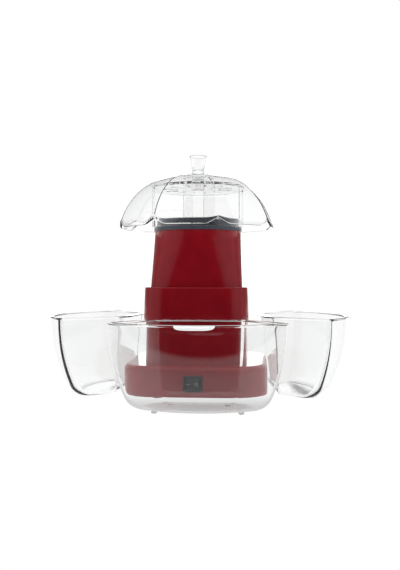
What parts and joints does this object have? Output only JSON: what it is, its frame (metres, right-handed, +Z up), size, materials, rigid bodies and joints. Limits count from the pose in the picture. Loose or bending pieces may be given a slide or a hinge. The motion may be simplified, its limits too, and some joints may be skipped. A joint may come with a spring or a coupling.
{
  "type": "popcorn maker",
  "caption": "Hot-air popcorn maker: red column on a rounded-square base, clear petalled canopy on a cage, and loose clear bowls standing round it.",
  "frame": {"origin": "middle of the whole footprint, on the surface that the feet and the bowls stand on", "axes": "+Z up; -Y towards the front with the switch; X across, from the left bowl to the right bowl"},
  "size_m": [0.4136, 0.3266, 0.3186],
  "materials": {
    "red_gloss": "high gloss dark red moulded plastic",
    "black_plastic": "matt black moulded plastic",
    "black_ring": "satin black heat-resistant plastic",
    "foot_rubber": "matt black rubber",
    "screw_steel": "zinc-plated steel",
    "chamber_aluminium": "spun aluminium",
    "shroud_steel": "galvanised sheet steel",
    "mica_board": "pressed mica sheet",
    "heater_wire": "oxidised resistance wire",
    "thermostat_steel": "plated steel can",
    "motor_steel": "zinc-plated motor can",
    "shaft_steel": "ground steel",
    "fan_plastic": "off-white nylon",
    "circuit_board": "brown phenolic board",
    "diode_black": "moulded black epoxy",
    "switch_black": "black switch moulding",
    "rocker_black": null,
    "terminal_brass": "stamped brass",
    "clear_plastic": "clear injection-moulded polycarbonate"
  },
  "bodies": {
    "machine": {"base_housing": "red_gloss", "base_plate": "black_plastic", "base_feet": "foot_rubber", "cover_screws": "screw_steel", "column_shell": "red_gloss", "collar_band": "red_gloss", "upper_housing": "red_gloss", "chamber_ring": "black_ring", "popping_chamber": "chamber_aluminium", "chamber_floor": "chamber_aluminium", "heater_shroud": "shroud_steel", "heater_frame": "mica_board", "heating_coil": "heater_wire", "thermostat": "thermostat_steel", "thermal_fuse": "thermostat_steel", "fan_housing": "black_plastic", "motor_bracket": "shroud_steel", "bracket_screws": "screw_steel", "motor": "motor_steel", "motor_screws": "screw_steel", "rectifier_board": "circuit_board", "rectifier_diodes": "diode_black", "switch_housing": "switch_black", "switch_terminals": "terminal_brass", "cord_gland": "foot_rubber"},
    "fan": {"motor_shaft": "shaft_steel", "fan_impeller": "fan_plastic"},
    "rocker": {"switch_rocker": "rocker_black"},
    "cover": {"cage_frame": "clear_plastic", "cage_plate": "clear_plastic", "canopy": "clear_plastic", "knob": "clear_plastic"},
    "front_bowl": {"bowl_front": "clear_plastic"},
    "left_bowl": {"bowl_left": "clear_plastic"},
    "right_bowl": {"bowl_right": "clear_plastic"}
  },
  "joints": [
    {"name": "fan_spin", "type": "hinge", "parent": "machine", "child": "fan", "pos_m": [0, 0.0412, 0.07], "axis": [0, 0, 1], "continuous": true},
    {"name": "rocker_tilt", "type": "hinge", "parent": "machine", "child": "rocker", "pos_m": [0, -0.0473, 0.0255], "axis": [0, 0, 1], "range_deg": [0, 14]},
    {"name": "cover_lift", "type": "slide", "parent": "machine", "child": "cover", "axis": [0, 0, 1], "range_m": [0, 0.08]},
    {"name": "front_bowl_slide", "type": "slide", "parent": "machine", "child": "front_bowl", "axis": [0, -1, 0], "range_m": [0, 0.12]},
    {"name": "left_bowl_slide", "type": "slide", "parent": "machine", "child": "left_bowl", "axis": [-0.9903, 0.1392, 0], "range_m": [0, 0.12]},
    {"name": "right_bowl_slide", "type": "slide", "parent": "machine", "child": "right_bowl", "axis": [0.9903, 0.1392, 0], "range_m": [0, 0.12]}
  ]
}
